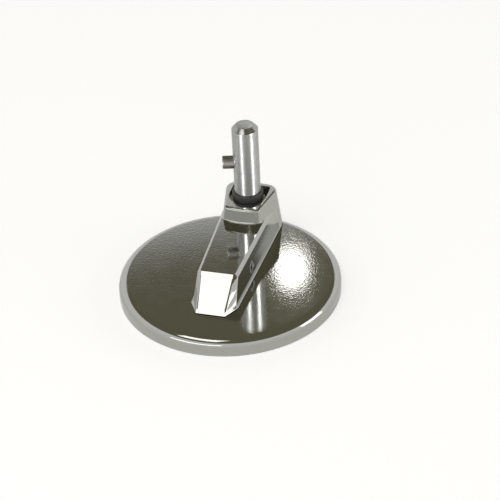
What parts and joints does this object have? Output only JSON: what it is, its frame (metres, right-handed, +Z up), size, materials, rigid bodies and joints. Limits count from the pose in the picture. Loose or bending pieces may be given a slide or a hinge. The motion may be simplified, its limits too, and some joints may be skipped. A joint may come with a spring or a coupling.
{
  "type": "floor door holder",
  "caption": "Low round floor base with a swivelling arm that carries an upright spindle with a side pin, the latch half of a door holder.",
  "frame": {"origin": "centre of the round base on the floor", "axes": "+Z up along the arm's pivot, -Y along the arm to its sloped nose, +Y to the spindle, +X to the side with the lock screw"},
  "size_m": [0.1, 0.1, 0.0654],
  "materials": {
    "lacquered_disc": "nickel-coloured metallic lacquer, glossy",
    "lacquered_casting": "nickel-coloured metallic lacquer on a zinc casting, glossy",
    "polished_spindle": "turned and plated, satin gloss",
    "spring_steel": "oiled spring steel",
    "collar_rubber": "matt black",
    "zinc_plated_steel": "bright zinc plating",
    "turned_steel": "turned",
    "black_screw_steel": "black oxide",
    "acetal": "machined black acetal",
    "foam_pad": "matt closed-cell foam"
  },
  "bodies": {
    "base": {"base_pad": "foam_pad", "floor_plate": "zinc_plated_steel", "pivot_stud": "turned_steel", "stud_screw": "black_screw_steel", "disc_dowels": "turned_steel", "cover_disc": "lacquered_disc", "slide_washer": "acetal"},
    "arm": {"arm_body": "lacquered_casting", "stud_bush": "acetal", "upper_bush": "acetal", "lower_bush": "acetal"},
    "spindle": {"spindle": "polished_spindle", "cross_pin": "spring_steel", "rubber_collar": "collar_rubber", "thrust_washer": "turned_steel", "friction_washer": "acetal", "retaining_ring": "spring_steel"},
    "lock_screw": {"lock_screw": "black_screw_steel"}
  },
  "joints": [
    {"name": "arm_swivel", "type": "hinge", "parent": "base", "child": "arm", "pos_m": [0, 0, 0.0083], "axis": [0, 0, 1], "continuous": true},
    {"name": "spindle_turn", "type": "hinge", "parent": "arm", "child": "spindle", "pos_m": [0, 0.0348, 0.0281], "axis": [0, 0, 1], "continuous": true},
    {"name": "lock_screw_travel", "type": "slide", "parent": "arm", "child": "lock_screw", "axis": [1, 0, 0], "range_m": [0, 0.0018]}
  ]
}
